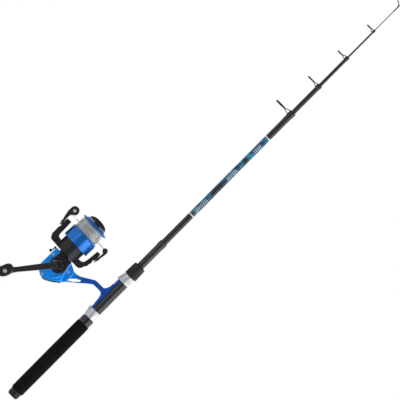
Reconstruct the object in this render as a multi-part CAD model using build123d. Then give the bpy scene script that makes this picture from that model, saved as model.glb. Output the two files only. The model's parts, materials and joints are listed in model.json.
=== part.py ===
from build123d import *
import math
import os

# Telescopic fishing rod with a spinning reel, in millimetres.
# X runs along the rod from the grip to the tip, Z is up, and the reel hangs below the rod.
# The origin is on the rod axis at the rear face of the foam grip.

os.makedirs("parts", exist_ok=True)

# ---------------------------------------------------------------- driving dimensions

# handle of the rod, as places along X
GRIP_LENGTH = 142.0
COLLAR_END = 153.0
REAR_HOOD_START = 154.0
REAR_HOOD_END = 168.7
FRONT_HOOD_START = 227.0
FRONT_HOOD_END = 241.0
NUT_START = 241.5
NUT_END = 263.0
SEAT_TUBE_END = 263.0
SLEEVE_END = 314.0
CAP_LENGTH = 11.0

GRIP_R = 10.8
COLLAR_R = 10.15
SEAT_TUBE_R = 8.7
NUT_R = 10.5
SLEEVE_R = 6.15
BLANK_R = 5.2
RUNNING_GAP = 0.05

# reel seat thread
THREAD_PITCH = 1.5
THREAD_DEPTH = 0.4
NUT_GROOVES = 10

# telescopic sections: mouth of the butt, then the front end of each inner section
MOUTH_X = 588.5
MOUTH_R = 4.9
SECTION_ENDS = [646.0, 705.5, 762.5, 813.5]
SECTION_LENGTH = 585.0
# outer radius at the rear and at the front of sections 2, 3, 4 and the tip
SECTION_R = [(4.0, 3.8), (2.85, 2.7), (1.6, 1.4), (0.85, 0.7)]
# bore radius at the rear and at the mouth of the butt and of sections 2, 3 and 4
BORE_R = [(4.45, 4.1), (3.3, 2.93), (2.1, 1.68), (1.1, 0.92)]

# line guides: place, ring centre below the axis, outer radius, collar start and collar radius
GUIDES = [
    (584.0, 22.0, 9.0, 579.5, 5.6),
    (643.0, 16.5, 6.0, 639.0, 4.4),
    (701.5, 13.2, 4.8, 698.5, 3.2),
    (760.0, 10.2, 3.8, 756.5, 1.85),
]
GUIDE_RING_WALL = 1.5
GUIDE_RING_WIDTH = 3.2
SMALL_RING_SHARE = 0.75
GUIDE_BAND_WALL = 0.7

# tip guide
TIP_TUBE_START = 801.5
TIP_TUBE_LENGTH = 12.0
TIP_RING_X = 817.0
TIP_RING_DROP = 4.5
TIP_RING_R = 3.2
TIP_RING_WALL = 1.2
TIP_LEAN = 25.0

# reel: the spool axis is tilted, its front end nearer to the rod
SPOOL_TILT = 3.0
CRANK_X = 179.0
CRANK_Z = -88.5
AXIS_OFFSET = 5.9
REEL = Location((CRANK_X, 0, CRANK_Z), (0, -SPOOL_TILT, 0)) * Pos(0, 0, -AXIS_OFFSET)

# foot of the reel, between the hoods of the seat
FOOT_TOP_R = 10.2
FOOT_HALF = 5.8
FOOT_BACK = 164.5
FOOT_FRONT = 231.0
HOOD_POCKET = 4.6

# reel body: its side outlines, and its places across Y
HOUSING = [(162, -69), (155, -78), (149, -88), (147.6, -93), (148.2, -98), (151, -102.5), (154.5, -106.3),
           (159, -109), (163, -109.7), (194.5, -109.2), (194.5, -77)]
STEM = [(194.5, -77), (190, -71), (187.6, -66), (187, -60), (189, -53), (195, -43), (201, -33), (201.4, -16),
        (204, -13.5), (209, -11.4), (209, -8), (184, -8), (184, -11.1), (190, -12.4), (193.6, -15), (194.3, -20),
        (194, -31.5), (189, -38), (179, -49.5), (170.5, -60), (162, -69)]
STEM_SLOT = [(171, -64), (176, -61.5), (182, -55.5), (185.5, -48.5), (183, -48), (175, -56)]
BODY_LEFT = -13.0
BODY_RIGHT = 9.0
COVER_RIGHT = 13.0
STEM_HALF = 5.2
BOSS_R = 13.5
CAP_FLUTES = 12
COVER_SCREWS = [(151.4, -96.5), (181, -70.6), (184, -105.4)]
COVER_SCREW_R = 0.9

# neck in front of the body, in the reel frame
NECK_BACK = 5.0
NECK_FRONT = 16.4
NECK_LOW = -6.3
NECK_HIGH = 16.3
NOSE_R = 9.0
NOSE_END = 26.2
BEARING_SEAT = 15.6
CLUTCH_BACK = 20.2
CLUTCH_ROLLERS = 6
LEVER_X = 13.0
LEVER_STEM_R = 1.5

# drive train
MODULE = 0.55
PINION_TEETH = 9
GEAR_TEETH = 45
AXLE_R = 3.0
SHAFT_R = 1.25
PINION_R = 3.2
BEARING_R = 6.0
BEARING_WIDTH = 3.0
PINION_BEARING_R = 7.0
PINION_BACK = 10.4
PINION_FACE = 4.6
PINION_BACKLASH = 0.12
PINION_PITCH_R = MODULE * PINION_TEETH / 2
GEAR_MESH_R = MODULE * GEAR_TEETH / 2
GEAR_FACE = 2.4
TOOTH_HEIGHT_UP = 0.42
TOOTH_HEIGHT_DOWN = 0.62
TOOTH_HALF = 0.24

# oscillation train
CAM_MODULE = 0.7
CAM_DRIVE_TEETH = 14
CAM_TEETH = 26
CAM_PLACE = (-13.2, 1.2)
CAM_THROW = 4.0
CAM_Y = -8.6
CAM_WIDTH = 2.4
CAM_BACKLASH = 0.25
CAM_LINE = math.degrees(math.atan2(AXIS_OFFSET - CAM_PLACE[1], -CAM_PLACE[0]))
GEAR_HUB_R = 4.0
CAM_PIN_R = 1.5
CAM_STUD_R = 1.4
GUIDE_ROD_R = 0.8
GUIDE_ROD_Z = (-6.3, 6.3)

# rotor and bail, in the reel frame (x along the spool axis)
ROTOR_BACK = 17.0
ROTOR_CUP_R = 19.6
ROTOR_CUP_END = 52.0
ROTOR_CUP_BORE = 17.8
ROTOR_NUT_SEAT = 30.0
UPPER_ARM = [(17.2, -4), (17.4, -29), (18.4, -32.4), (21.9, -34.5), (37.9, -35.4), (44, -36.4), (56.3, -37.0),
             (56.8, -29.0), (43.3, -27.9), (31.3, -27.2), (28.2, -25.4), (27.2, -19), (27, -4)]
LOWER_ARM = [(17.2, 4), (17.4, 26), (18.6, 29.6), (22, 32.2), (27, 33.6), (39.6, 35.4), (56.2, 36.8),
             (55.9, 30.2),
             (39.3, 29.4), (31.2, 28.3), (28.2, 25.9), (27.2, 20), (27, 4)]
ARM_HALF = 11.0
BAIL_PIVOT_X = 48.0
BAIL_FACE = 37.7
BAIL_SCREW_SEAT = 39.6
BAIL_SCREW_R = 1.55
BAIL_SCREW_HEAD_R = 3.0
WIRE_X = 65.0
WIRE_HALF = 37.0
WIRE_STRAIGHT = 8.5
WIRE_R = 0.75
ROLLER_X = 72.0
ROLLER_Z = -38.0
ROLLER_SCREW_R = 1.25
LEVER_EYE_R = 7.0

# spool
SKIRT_BACK = 38.0
SKIRT_R = 23.6
LINE_BACK = 59.2
LINE_FRONT = 77.0
ARBOR_R = 14.0
LINE_R = 21.7
LIP_R = 24.2
DRAG_CHAMBER_R = 13.0
DRAG_CHAMBER_BACK = 70.0
CLICKS = 24
KNOB_FLUTES = 18
SPOOL_SHAFT_R = 2.0

# crank
ARM_ANGLE = 140.9
ARM_LENGTH = 79.3
ARM_HINGE = (4.0, 45.0)
ARM_TILT = 8.5
ARM_PIN_R = 1.5
KNOB_START = 60.2
KNOB_LENGTH = 30.0
KNOB_PIN_R = 2.0
CRANK = Location((CRANK_X, 0, CRANK_Z), (0, ARM_ANGLE, 0))
ARM_FRAME = CRANK * Pos(ARM_HINGE[0], ARM_HINGE[1], 0) * Rot(0, 0, ARM_TILT)


# ---------------------------------------------------------------- shared shapes

def plate(points, y0, y1):
    """A plate with a side outline in X and Z, from y0 to y1."""
    face = Plane.XZ.offset(-y1) * Polygon(*points, align=None)
    return extrude(face, amount=y1 - y0, dir=(0, -1, 0))


def plan_column(points):
    """A tall column with a plan outline in X and Y, to trim other shapes with."""
    face = Plane.XY.offset(-60) * Polygon(*points, align=None)
    return extrude(face, amount=120, dir=(0, 0, 1))


def turned(points):
    """A solid of revolution about X, from a half outline of places and radii."""
    return revolve(Plane.XZ * Polygon(*points, align=None), axis=Axis.X)


def tube(x0, x1, outer, inner):
    """A plain tube along X."""
    return turned([(x0, inner), (x0, outer), (x1, outer), (x1, inner)])


def rod(x0, x1, radius):
    """A plain round bar along X."""
    return Pos((x0 + x1) / 2, 0, 0) * Rot(0, 90, 0) * Cylinder(radius, x1 - x0)


def cross(x, z, radius, y0, y1):
    """A round bar along Y."""
    return Pos(x, (y0 + y1) / 2, z) * Rot(90, 0, 0) * Cylinder(radius, y1 - y0)


def upright(x, y, radius, z0, z1):
    """A round bar along Z."""
    return Pos(x, y, (z0 + z1) / 2) * Cylinder(radius, abs(z1 - z0))


def block(x0, x1, y0, y1, z0, z1):
    """A box between two corners."""
    return Pos((x0 + x1) / 2, (y0 + y1) / 2, (z0 + z1) / 2) * Box(x1 - x0, y1 - y0, z1 - z0)


def cone_between(start, end, r0, r1):
    """A cone from one point to another."""
    a = Vector(*start)
    b = Vector(*end)
    length = (b - a).length
    bar = Cylinder(r0, length) if r0 == r1 else Cone(r0, r1, length)
    return Plane(origin=a, z_dir=b - a) * Pos(0, 0, length / 2) * bar


def softened(part, radius, edges=None):
    """The part with its edges rounded, at the largest radius up to the one asked that holds."""
    chosen = part.edges() if edges is None else edges
    for size in (radius, radius * 0.6, radius * 0.35):
        try:
            rounded = fillet(chosen, size)
        except Exception:
            continue
        if rounded.is_valid and len(rounded.solids()) == len(part.solids()):
            return rounded
    return part


def screw(x, z, y_top, head_r, length):
    """A slotted screw along Y, with its head's outer face at y_top."""
    head = cross(x, z, head_r, y_top - 1.1, y_top)
    shank = cross(x, z, head_r * 0.5, y_top - length, y_top - 1.1)
    slot = Pos(x, y_top, z) * Rot(0, 35, 0) * Box(head_r * 2.2, 0.7, 0.5)
    return head + shank - slot


# ---------------------------------------------------------------- rod handle

def butt_cap():
    """Rubber cap on the butt, with a plug inside the grip."""
    outline = [(-CAP_LENGTH, 0), (-CAP_LENGTH, 6.2), (-10.4, 7.4), (-9.4, 8.4), (-8.2, 9.0), (-3.6, 9.3),
               (-3.2, 8.9), (-2.6, 8.9), (-2.2, 9.4), (-0.4, 9.4), (0, 9.1), (0, 4.4), (8, 4.4), (8, 0)]
    return turned(outline)


def grip_foam():
    """Foam grip, glued on the blank."""
    foam = tube(0, GRIP_LENGTH, GRIP_R, BLANK_R)
    front_rim = foam.edges().filter_by(GeomType.CIRCLE).sort_by(Axis.X)[-2:].sort_by(SortBy.RADIUS)[-1]
    return softened(foam, 0.6, [front_rim])


def grip_collar():
    """Winding check between the grip and the reel seat."""
    outline = [(GRIP_LENGTH, BLANK_R), (GRIP_LENGTH, COLLAR_R - 0.3), (GRIP_LENGTH + 0.6, COLLAR_R),
               (COLLAR_END - 0.8, COLLAR_R), (COLLAR_END, COLLAR_R - 0.6), (COLLAR_END, BLANK_R)]
    return turned(outline)


def seat_tube():
    """Reel seat tube: smooth under the foot, threaded under the nut."""
    body = tube(COLLAR_END, SEAT_TUBE_END, SEAT_TUBE_R, BLANK_R)
    for k in range(int((SEAT_TUBE_END - FRONT_HOOD_END) / THREAD_PITCH)):
        x = FRONT_HOOD_END + k * THREAD_PITCH
        body -= tube(x, x + THREAD_PITCH / 2, SEAT_TUBE_R + 1, SEAT_TUBE_R - THREAD_DEPTH)
    return body


def hood(mouth, back, bore):
    """A hood of the reel seat: a ring with a bulge over the foot at its mouth, which is open."""
    side = 1 if mouth > back else -1
    rear = Plane(origin=(back, 0, 0), x_dir=(0, 1, 0), z_dir=(side, 0, 0)) * Circle(9.8)
    front = Plane(origin=(mouth, 0, -1.55), x_dir=(0, 1, 0), z_dir=(side, 0, 0)) * Ellipse(10.4, 11.35)
    shell = loft([rear.face(), front.face()])
    rim = shell.edges().filter_by(GeomType.CIRCLE)
    shell = softened(shell, 0.7, rim)
    shell -= rod(min(mouth, back) - 1, max(mouth, back) + 1, bore)
    low = min(mouth, mouth - side * HOOD_POCKET)
    high = max(mouth, mouth - side * HOOD_POCKET)
    pocket = rod(low, high, FOOT_TOP_R + 0.12) & block(low, high, -FOOT_HALF - 0.15, FOOT_HALF + 0.15, -20, -3)
    return shell - pocket


def rear_hood():
    """Fixed hood that holds the rear end of the reel foot."""
    return hood(REAR_HOOD_END, REAR_HOOD_START, SEAT_TUBE_R)


def front_hood():
    """Sliding hood that clamps the front end of the reel foot."""
    return hood(FRONT_HOOD_START, FRONT_HOOD_END, SEAT_TUBE_R + RUNNING_GAP)


def seat_nut():
    """Soft-faced lock nut that pushes the sliding hood."""
    outline = [(NUT_START, SEAT_TUBE_R + RUNNING_GAP), (NUT_START, NUT_R - 0.3), (NUT_START + 0.6, NUT_R + 0.1),
               (NUT_START + 14, NUT_R - 0.25), (NUT_END - 2.2, 9.8), (NUT_END - 0.5, 9.3), (NUT_END, 8.95),
               (NUT_END, SEAT_TUBE_R + RUNNING_GAP)]
    body = turned(outline)
    groove = Pos(0, 0, NUT_R + 1.25) * rod(NUT_START + 3, NUT_END - 5, 1.5)
    for k in range(NUT_GROOVES):
        body -= Rot((k + 0.5) * 360 / NUT_GROOVES, 0, 0) * groove
    return body


def handle_sleeve():
    """Sleeve in front of the reel seat, with a swell at its front end."""
    outline = [(SEAT_TUBE_END, BLANK_R), (SEAT_TUBE_END, SLEEVE_R), (303, SLEEVE_R), (305, 6.55), (311.5, 6.55),
               (SLEEVE_END, 5.9), (SLEEVE_END, BLANK_R)]
    return turned(outline)


def butt_blank():
    """Butt section: straight inside the handle, tapered in front of it, hollow for section 2."""
    rear, mouth = BORE_R[0]
    outline = [(9, rear), (9, BLANK_R), (SLEEVE_END, BLANK_R), (MOUTH_X, MOUTH_R), (MOUTH_X, mouth)]
    return turned(outline)


# ---------------------------------------------------------------- telescopic sections

def section(index):
    """One inner tube of the rod, tapered and wider at its rear end."""
    end = SECTION_ENDS[index]
    start = end - SECTION_LENGTH
    rear, front = SECTION_R[index]
    bore_rear, bore_front = BORE_R[index + 1]
    return turned([(start, bore_rear), (start, rear), (end, front), (end, bore_front)])


def tip_section():
    """Solid tip of the rod."""
    end = SECTION_ENDS[3]
    start = end - SECTION_LENGTH + 10
    rear, front = SECTION_R[3]
    return turned([(start, 0), (start, rear), (end, front), (end, 0)])


def blank_radius(index, x):
    """Outer radius of the tube that carries guide number index, at place x."""
    if index == 0:
        return BLANK_R - (BLANK_R - MOUTH_R) * (x - SLEEVE_END) / (MOUTH_X - SLEEVE_END)
    end = SECTION_ENDS[index - 1]
    rear, front = SECTION_R[index - 1]
    return front + (rear - front) * (end - x) / SECTION_LENGTH


def guide_frame(index):
    """Collar on the tube's end and two legs that spread to the ring's band."""
    x, drop, ring_r, collar_start, collar_r = GUIDES[index]
    tube_end = MOUTH_X if index == 0 else SECTION_ENDS[index - 1]
    bores = (blank_radius(index, collar_start), blank_radius(index, tube_end))
    lip = min(0.4, collar_r - bores[0])
    collar = turned([(collar_start, bores[0]), (collar_start, collar_r - lip * 0.6),
                     (collar_start + 0.8, collar_r), (tube_end - 0.6, collar_r),
                     (tube_end, collar_r - lip * 0.6), (tube_end, bores[1])])
    band = Pos(x, 0, -drop) * tube(-1.1, 1.1, ring_r, ring_r - GUIDE_BAND_WALL)
    top = drop - ring_r + 0.45
    root = collar_r - 0.35
    spread = (tube_end - collar_start) / 2 - 0.5
    middle = (tube_end + collar_start) / 2
    width = 0.22 * ring_r + 0.5
    legs = plate([(middle - spread, -root), (middle - spread + 1.3, -root), (x + 0.1, -top + 1.2),
                  (middle + spread - 1.3, -root), (middle + spread, -root), (x + 0.9, -top - 0.2),
                  (x - 0.9, -top - 0.2)], -width, width)
    hollow = Pos(x, 0, -drop) * rod(-3, 3, ring_r - GUIDE_BAND_WALL)
    return collar + (band + legs - hollow)


def guide_ring(index):
    """Polished ring that the line runs through."""
    x, drop, ring_r, _, _ = GUIDES[index]
    share = 1 if index == 0 else SMALL_RING_SHARE
    outer = ring_r - GUIDE_BAND_WALL
    wall = GUIDE_RING_WALL * share
    half = GUIDE_RING_WIDTH / 2 * share
    inner = outer - wall
    flat = half * 0.7
    ring = turned([(-flat, outer), (flat, outer), (half, outer - wall * 0.35), (half, inner + 0.35),
                   (flat, inner), (-flat, inner), (-half, inner + 0.35), (-half, outer - wall * 0.35)])
    return Pos(x, 0, -drop) * ring


def tip_guide():
    """Tip-top: a tube over the tip with a leaning ring held by two short legs."""
    front = SECTION_R[3][1]
    rear = front + 0.15 * TIP_TUBE_LENGTH / SECTION_LENGTH
    socket = turned([(TIP_TUBE_START, rear), (TIP_TUBE_START, 0.95), (815.0, 1.0), (815.6, 0.6), (815.6, 0),
                     (SECTION_ENDS[3], 0), (SECTION_ENDS[3], front)])
    place = Pos(TIP_RING_X, 0, -TIP_RING_DROP) * Rot(0, -TIP_LEAN, 0)
    ring = place * tube(-0.7, 0.7, TIP_RING_R, TIP_RING_R - TIP_RING_WALL)
    legs = cone_between((810, 0.7, -0.3), (815.9, 2.0, -2.6), 0.45, 0.45)
    legs += cone_between((810, -0.7, -0.3), (815.9, -2.0, -2.6), 0.45, 0.45)
    hollow = place * rod(-3, 3, TIP_RING_R - 0.8)
    return socket + ring + (legs - hollow - rod(TIP_TUBE_START, SECTION_ENDS[3], 0.8))


# ---------------------------------------------------------------- reel body

def foot():
    """Foot plate that lies along the reel seat, with rounded ends."""
    top = [(FOOT_BACK, -10.2), (170, -10.2), (184, -11), (190, -12.2), (205, -12.2), (209, -11.3), (227, -10.2),
           (FOOT_FRONT, -10.2), (FOOT_FRONT, -4), (FOOT_BACK, -4)]
    body = plate(top, -FOOT_HALF, FOOT_HALF) & rod(FOOT_BACK, FOOT_FRONT, 12.4)
    ends = rod(FOOT_BACK, 176, FOOT_TOP_R) + rod(176, 216, 13) + rod(216, FOOT_FRONT, FOOT_TOP_R)
    rear_round = FOOT_BACK + FOOT_HALF
    front_round = FOOT_FRONT - FOOT_HALF
    plan = block(rear_round, front_round, -FOOT_HALF, FOOT_HALF, -30, 0)
    plan += upright(rear_round, 0, FOOT_HALF, -30, 0) + upright(front_round, 0, FOOT_HALF, -30, 0)
    return body & ends & plan


def drive_cavity():
    """Room for the gears inside the body, in the reel frame."""
    gear_room = cross(0, AXIS_OFFSET, 15.3, -10, BODY_RIGHT + 1)
    slider_room = block(-26, -2, -10, BODY_RIGHT + 1, -9.5, 12.5)
    return REEL * (gear_room + slider_room)


def reel_body():
    """Main casting: gear housing, stem and foot in one piece."""
    case = plate(HOUSING, BODY_LEFT, BODY_RIGHT)
    case = softened(case, 2.2, case.edges().group_by(Axis.Y)[0])
    stem = softened(plate(STEM, -STEM_HALF, STEM_HALF), 1.6)
    blend = plate([(163, -67), (171, -60.5), (186.5, -63), (191, -72), (194, -80), (158, -80)], -8.5, 7.5)
    body = case + stem + softened(blend, 2.5) + foot()
    body -= plate(STEM_SLOT, -20, 20)
    body -= rod(FOOT_BACK - 5, FOOT_FRONT + 5, SEAT_TUBE_R)
    body -= block(FOOT_BACK - 5, FOOT_FRONT + 5, -20, 20, -4.5, 20)
    body -= drive_cavity()
    body -= REEL * block(NECK_BACK, 40, -40, 40, NECK_LOW, NECK_HIGH)
    body -= REEL * cross(0, AXIS_OFFSET, BEARING_R, BODY_LEFT - 1, 0)
    body -= REEL * rod(-28.5, -20, SHAFT_R + 0.4)
    body -= REEL * upright(LEVER_X, 0, LEVER_STEM_R + RUNNING_GAP, -20, -9)
    for place in GUIDE_ROD_Z:
        body -= REEL * (Pos(0, 0, place) * rod(-28, -20, GUIDE_ROD_R))
    body -= REEL * rod(15, 40, NOSE_R)
    body += REEL * cross(*CAM_PLACE, CAM_PIN_R, -12, CAM_Y + CAM_WIDTH + 0.4)
    for x, z in COVER_SCREWS:
        body -= cross(x, z, COVER_SCREW_R, BODY_RIGHT - 6, BODY_RIGHT + 1)
    return body.solids().sort_by(SortBy.VOLUME)[-1]


def side_cover():
    """Right side cover, held by three screws, with a seat for the drive bearing."""
    cover = plate(HOUSING, BODY_RIGHT, COVER_RIGHT)
    cover = softened(cover, 2.2, cover.edges().group_by(Axis.Y)[-1])
    cover -= REEL * block(NECK_BACK, 40, -40, 40, NECK_LOW, NECK_HIGH)
    cover -= REEL * cross(0, AXIS_OFFSET, BEARING_R, 0, 40)
    cover -= plate([(152, -91.5), (152, -93), (170.5, -76), (170.5, -74.5)], COVER_RIGHT - 0.5, COVER_RIGHT + 1)
    for x, z in COVER_SCREWS:
        cover -= cross(x, z, 2 * COVER_SCREW_R + 0.1, COVER_RIGHT - 1.2, COVER_RIGHT + 1)
        cover -= cross(x, z, COVER_SCREW_R + RUNNING_GAP, BODY_RIGHT - 1, COVER_RIGHT + 1)
    return cover.solids().sort_by(SortBy.VOLUME)[-1]


def cover_screws():
    """Three screws of the side cover."""
    screws = [screw(x, z, COVER_RIGHT - 0.1, 2 * COVER_SCREW_R, 8.5) for x, z in COVER_SCREWS]
    return Compound(children=[part.solid() for part in screws])


def rear_guard():
    """Black bumper along the lower rear edge of the body."""
    outer = [(160.8, -67.6), (153.6, -77), (147.4, -87.6), (146.2, -94), (147.7, -93), (149, -88), (155, -78),
             (162, -69)]
    guard = plate(outer, -8, 7)
    return guard - plate(HOUSING, -40, 40)


def front_neck():
    """Black neck between the gear housing and the rotor, with the pinion bearing's nose."""
    neck = block(NECK_BACK, NECK_FRONT, BODY_LEFT + 1.2, COVER_RIGHT - 1.4, NECK_LOW, NECK_HIGH)
    neck = softened(neck, 1.8, neck.edges().filter_by(Axis.Y).group_by(Axis.X)[-1])
    neck += rod(BEARING_SEAT - 0.6, NOSE_END, NOSE_R)
    neck -= rod(BEARING_SEAT, NOSE_END + 1, PINION_BEARING_R)
    neck -= rod(0, 20, PINION_R + 0.4)
    neck -= cross(0, AXIS_OFFSET, BEARING_R, -14, -9.9) + cross(0, AXIS_OFFSET, BEARING_R, 9.9, 14)
    return REEL * neck - drive_cavity()


def boss_cover():
    """Round black cover over the drive bearing, with the collar that the axle leaves by."""
    disc = turned([(0, 4.2), (0, BOSS_R - 0.1), (1.4, BOSS_R), (2.3, BOSS_R - 0.9), (2.6, 9.6), (2.2, 8.9),
                   (2.2, 8.1), (5.4, 7.0), (6.2, 6.2), (6.2, 4.2)])
    return Pos(CRANK_X, COVER_RIGHT, CRANK_Z) * Rot(0, 0, 90) * disc


def side_cap():
    """Screw cap over the far end of the drive axle."""
    cap = turned([(0, 0), (0, 8.2), (-1.2, 8.2), (-3.6, 7.0), (-4.4, 5.6), (-4.6, 0)])
    cap -= rod(-2.8, 1, 4.2)
    flute = Pos(0, 0, 8.9) * rod(-4.3, -0.9, 1.1)
    for k in range(CAP_FLUTES):
        cap -= Rot(k * 360 / CAP_FLUTES, 0, 0) * flute
    return Pos(CRANK_X, BODY_LEFT, CRANK_Z) * Rot(0, 0, 90) * cap


def ball_race(outer, inner, width):
    """A shielded ball bearing, as its outer ring, shield and inner ring in one."""
    shield = 0.25
    return turned([(0, inner), (0, inner + 0.7), (shield, inner + 0.8), (shield, outer - 0.9),
                   (0, outer - 0.8), (0, outer), (width, outer), (width, outer - 0.8),
                   (width - shield, outer - 0.9), (width - shield, inner + 0.8), (width, inner + 0.7),
                   (width, inner)])


def drive_bearings():
    """Two bearings of the drive axle."""
    race = ball_race(BEARING_R, AXLE_R + RUNNING_GAP, BEARING_WIDTH)
    right = Pos(CRANK_X, COVER_RIGHT - BEARING_WIDTH, CRANK_Z) * Rot(0, 0, 90) * race
    left = Pos(CRANK_X, BODY_LEFT, CRANK_Z) * Rot(0, 0, 90) * race
    return Compound(children=[right.solid(), left.solid()])


def pinion_bearing():
    """Bearing of the pinion in the neck's nose."""
    race = ball_race(PINION_BEARING_R, PINION_R + RUNNING_GAP, CLUTCH_BACK - BEARING_SEAT - 0.2)
    return REEL * Pos(BEARING_SEAT, 0, 0) * race


def one_way_clutch():
    """One-way roller clutch in front of the pinion bearing."""
    ring = tube(CLUTCH_BACK, NOSE_END - 0.2, PINION_BEARING_R, PINION_R + RUNNING_GAP)
    pocket = Pos(0, 4.6, 0) * rod(NOSE_END - 0.8, NOSE_END + 1, 0.7)
    for k in range(CLUTCH_ROLLERS):
        ring -= Rot(k * 360 / CLUTCH_ROLLERS, 0, 0) * pocket
    return REEL * ring


def anti_reverse_lever():
    """Finger lever that switches the one-way clutch, with its stem."""
    stem = upright(LEVER_X, 0, LEVER_STEM_R, -16.9, -9.4)
    tab = block(3.2, LEVER_X + 2.2, -2.2, 2.2, -18.4, -16.6)
    tab += block(3.2, 7.2, -2.2, 2.2, -20.6, -17)
    tab = softened(tab, 0.7)
    return REEL * (stem + tab)


# ---------------------------------------------------------------- drive train

def spur(teeth, module, width, bore, backlash):
    """A spur gear about X with straight-sided teeth thinned by the backlash, its rear face at x 0."""
    pitch_r = module * teeth / 2
    root_r = pitch_r - module * 1.15
    tip_r = pitch_r + module * 0.85
    half = math.pi * module / 4 - backlash
    wheel = rod(0, width, root_r)
    tooth = [(root_r - 0.3, half * 1.5), (tip_r, half * 0.62), (tip_r, -half * 0.62),
             (root_r - 0.3, -half * 1.5)]
    face = Plane.YZ * Polygon(*tooth, align=None)
    one = extrude(face, amount=width, dir=(1, 0, 0))
    for k in range(teeth):
        wheel += Rot(k * 360 / teeth, 0, 0) * one
    return wheel - rod(-1, width + 1, bore)


def pinion():
    """Brass pinion on the spool axis, hollow for the main shaft; it carries the rotor."""
    gear = Pos(PINION_BACK, 0, 0) * spur(PINION_TEETH, MODULE, PINION_FACE, 0.5, PINION_BACKLASH)
    sleeve = rod(PINION_BACK + PINION_FACE, 35.0, PINION_R)
    return REEL * (gear + sleeve - rod(0, 40, SHAFT_R + RUNNING_GAP))


def drive_gear():
    """Face gear and small spur gear on one hub; the face teeth lie parallel to the pinion where they mesh."""
    back = PINION_PITCH_R + TOOTH_HEIGHT_DOWN
    tip = PINION_PITCH_R - TOOTH_HEIGHT_UP
    near = GEAR_MESH_R - GEAR_FACE / 2
    far = GEAR_MESH_R + GEAR_FACE / 2
    outer = math.hypot(far, AXIS_OFFSET)
    wheel = cross(0, 0, outer + 0.2, back, back + 1.8)
    wheel += cross(0, 0, 5.5, back, 8.6)
    line = -AXIS_OFFSET
    section = [(tip, line - TOOTH_HALF), (tip, line + TOOTH_HALF), (back + 0.1, line + TOOTH_HALF * 2),
               (back + 0.1, line - TOOTH_HALF * 2)]
    face = Plane.YZ.offset(near) * Polygon(*section, align=None)
    bar = extrude(face, amount=far - near, dir=(1, 0, 0))
    for k in range(GEAR_TEETH):
        wheel += Rot(0, (k + 0.5) * 360 / GEAR_TEETH, 0) * bar
    wheel += cross(0, 0, GEAR_HUB_R, CAM_Y, back + 0.5)
    small = Rot(0, 0, 90) * spur(CAM_DRIVE_TEETH, CAM_MODULE, CAM_WIDTH, AXLE_R, CAM_BACKLASH)
    wheel += Pos(0, CAM_Y, 0) * Rot(0, -CAM_LINE, 0) * small
    wheel -= cross(0, 0, AXLE_R, -20, 20)
    return REEL * Pos(0, 0, AXIS_OFFSET) * wheel


def drive_axle():
    """Steel axle from the side cap to the handle hub."""
    axle = cross(0, 0, AXLE_R, -14.5, 38.0)
    return Pos(CRANK_X, 0, CRANK_Z) * softened(axle, 0.4)


def cam_gear():
    """Oscillation gear with its eccentric stud."""
    half_tooth = 180 / CAM_TEETH
    wheel = Rot(0, 0, 90) * spur(CAM_TEETH, CAM_MODULE, CAM_WIDTH, CAM_PIN_R + RUNNING_GAP, CAM_BACKLASH)
    gear = Rot(0, half_tooth - CAM_LINE, 0) * wheel
    stud = cross(0, CAM_THROW, CAM_STUD_R, CAM_WIDTH, -3.0 - CAM_Y)
    return REEL * Pos(CAM_PLACE[0], CAM_Y, CAM_PLACE[1]) * (gear + stud)


def slider_guides():
    """Two guide rods of the slider."""
    rods = [REEL * (Pos(0, 0, z) * rod(-28, -5.2, GUIDE_ROD_R)) for z in GUIDE_ROD_Z]
    return Compound(children=[part.solid() for part in rods])


def shaft_slider():
    """Block on the main shaft with the slot for the stud, running on the guide rods."""
    x = CAM_PLACE[0]
    body = softened(block(x - 2.6, x + 2.6, -2.7, 1.75, -8.2, 8.2), 0.5)
    body -= block(x - CAM_STUD_R - 0.1, x + CAM_STUD_R + 0.1, -4, -1.7, -6, 6)
    body -= rod(x - 5, x + 5, SHAFT_R)
    for z in GUIDE_ROD_Z:
        body -= Pos(0, 0, z) * rod(x - 5, x + 5, GUIDE_ROD_R + 0.06)
    return REEL * body


def main_shaft():
    """Main shaft: thin through the pinion, with a collar and a thicker end for the spool."""
    outline = [(-18.5, 0), (-18.5, SHAFT_R - 0.2), (-18.2, SHAFT_R), (53, SHAFT_R), (53.4, SPOOL_SHAFT_R),
               (54.0, SPOOL_SHAFT_R), (54.0, 4.6), (55.0, 5.2), (56.8, 5.2), (56.8, SPOOL_SHAFT_R),
               (87.4, SPOOL_SHAFT_R), (88, SPOOL_SHAFT_R - 0.5), (88, 0)]
    return REEL * turned(outline)


# ---------------------------------------------------------------- rotor and bail

def rotor_arm(outline):
    """One arm of the rotor, wide at its root and narrower in front."""
    plan = [(10, -ARM_HALF), (30, -ARM_HALF), (42, -8.6), (52, -7.2), (57.2, -5.6),
            (57.2, 5.6), (52, 7.2), (42, 8.6), (30, ARM_HALF), (10, ARM_HALF)]
    return softened(plate(outline, -ARM_HALF, ARM_HALF) & plan_column(plan), 1.6)


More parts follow.
